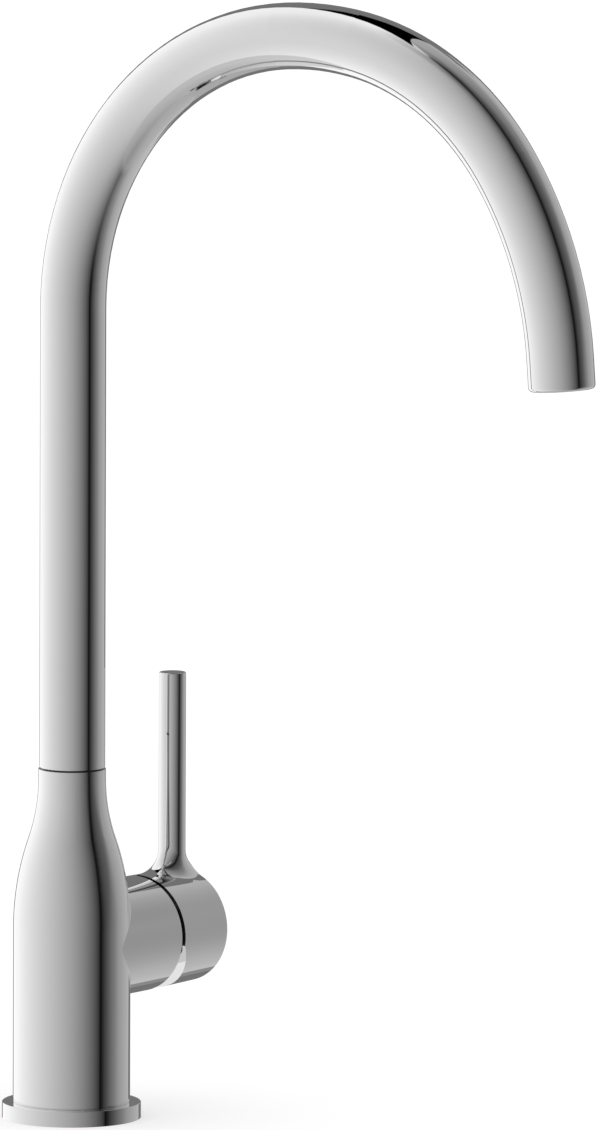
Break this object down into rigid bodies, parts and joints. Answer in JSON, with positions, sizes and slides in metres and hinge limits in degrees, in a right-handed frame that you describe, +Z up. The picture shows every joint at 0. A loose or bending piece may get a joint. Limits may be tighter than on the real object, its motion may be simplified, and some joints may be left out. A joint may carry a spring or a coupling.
{
  "type": "kitchen mixer tap",
  "caption": "Single-lever kitchen mixer tap: bottle-shaped body on a round flange, swan-neck swivel spout, and a side handle with an upright pin lever.",
  "frame": {"origin": "centre of the flange's underside, on the worktop plane and on the body's and the spout's swivel axis", "axes": "+Z up, spout reaching along -Y towards the user, handle along +X on the user's right"},
  "size_m": [0.0914, 0.2519, 0.4084],
  "materials": {
    "chrome": "mirror-polished chrome plating",
    "rubber": "matte moulded rubber",
    "brass": "turned brass",
    "steel": "satin stainless steel",
    "white_plastic": "moulded plastic",
    "grey_plastic": "moulded plastic",
    "black_plastic": "moulded plastic",
    "ceramic": "lapped alumina ceramic"
  },
  "bodies": {
    "tap_body": {"base_flange": "chrome", "deck_seal": "rubber", "body": "chrome", "spout_screw": "steel", "slide_ring": "black_plastic", "cartridge_base": "white_plastic", "port_seal_hot": "rubber", "port_seal_cold": "rubber", "port_seal_mixed": "rubber", "fixed_disc": "ceramic", "cartridge_housing": "white_plastic", "cartridge_nut": "brass", "dome_ring": "black_plastic"},
    "spout": {"spout_tube": "chrome", "swivel_sleeve": "brass", "bearing_ring": "grey_plastic", "o_ring_upper": "rubber", "o_ring_lower": "rubber", "outlet_bush": "brass", "aerator_shell": "white_plastic", "aerator_screen": "grey_plastic", "aerator_seal": "rubber"},
    "carrier": {"rotor": "grey_plastic", "pivot_pin": "steel"},
    "lever": {"handle": "chrome", "stem": "brass", "stem_bush": "grey_plastic", "grub_screw": "steel", "grub_plug": "grey_plastic"},
    "valve_disc": {"moving_disc": "ceramic", "disc_carrier": "grey_plastic"}
  },
  "joints": [
    {"name": "spout_swivel", "type": "hinge", "parent": "tap_body", "child": "spout", "pos_m": [0, 0, 0.1265], "axis": [0, 0, 1], "range_deg": [-180, 180]},
    {"name": "temperature_turn", "type": "hinge", "parent": "tap_body", "child": "carrier", "pos_m": [0.0321, 0, 0.0621], "axis": [1, 0, 0], "range_deg": [-45, 45]},
    {"name": "lever_tilt", "type": "hinge", "parent": "carrier", "child": "lever", "pos_m": [0.0321, 0, 0.0621], "axis": [0, 1, 0], "range_deg": [0, 22]},
    {"name": "disc_slide", "type": "slide", "parent": "carrier", "child": "valve_disc", "axis": [0, 0, 1], "range_m": [0, 0.00448]}
  ],
  "couplings": [
    {"joint": "disc_slide", "follows": "lever_tilt", "m_per_rad": 0.011415}
  ]
}
